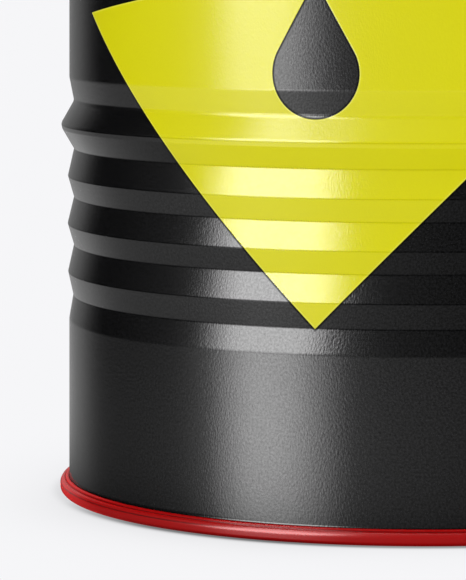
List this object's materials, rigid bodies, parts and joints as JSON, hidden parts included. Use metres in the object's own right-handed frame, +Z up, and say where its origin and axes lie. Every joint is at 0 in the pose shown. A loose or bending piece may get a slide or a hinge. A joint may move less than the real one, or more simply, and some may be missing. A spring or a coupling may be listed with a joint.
{
  "type": "steel oil drum",
  "caption": "Tight-head steel drum: ribbed cylindrical shell with rolling hoops, seamed heads and threaded closures in the top head.",
  "frame": {"origin": "on the drum's axis, at the level plane the bottom chime stands on", "axes": "+Z up along the drum's axis, -Y towards the front, +X towards the larger closure; the side weld of the shell is at the back (+Y)"},
  "size_m": [0.5878, 0.5878, 0.88],
  "materials": {
    "body_paint": "gloss black enamel on steel, fine orange peel",
    "head_paint": "gloss red enamel on steel",
    "zinc": "bright zinc plated steel",
    "gasket": "matt black nitrile rubber",
    "sealant": "cured seaming compound"
  },
  "bodies": {
    "drum": {"body_shell": "body_paint", "bottom_head": "head_paint", "top_head": "head_paint", "bottom_seam_sealant": "sealant", "top_seam_sealant": "sealant", "bung_flange": "zinc", "bung_flange_gasket": "gasket", "vent_flange": "zinc", "vent_flange_gasket": "gasket"},
    "bung_plug_seal": {"bung_plug_gasket": "gasket"},
    "bung_plug": {"bung_plug": "zinc"},
    "vent_plug_seal": {"vent_plug_gasket": "gasket"},
    "vent_plug": {"vent_plug": "zinc"}
  },
  "joints": [
    {"name": "bung_plug_rise", "type": "slide", "parent": "drum", "child": "bung_plug_seal", "axis": [0, 0, 1], "range_m": [0, 0.01156]},
    {"name": "bung_plug_turn", "type": "hinge", "parent": "bung_plug_seal", "child": "bung_plug", "pos_m": [0.205, 0, 0.868], "axis": [0, 0, 1], "range_deg": [0, 1800]},
    {"name": "vent_plug_rise", "type": "slide", "parent": "drum", "child": "vent_plug_seal", "axis": [0, 0, 1], "range_m": [0, 0.00908]},
    {"name": "vent_plug_turn", "type": "hinge", "parent": "vent_plug_seal", "child": "vent_plug", "pos_m": [-0.222, 0, 0.868], "axis": [0, 0, 1], "range_deg": [0, 1800]}
  ],
  "couplings": [
    {"joint": "bung_plug_rise", "follows": "bung_plug_turn", "m_per_rad": 0.00036749},
    {"joint": "vent_plug_rise", "follows": "vent_plug_turn", "m_per_rad": 0.00028871}
  ]
}
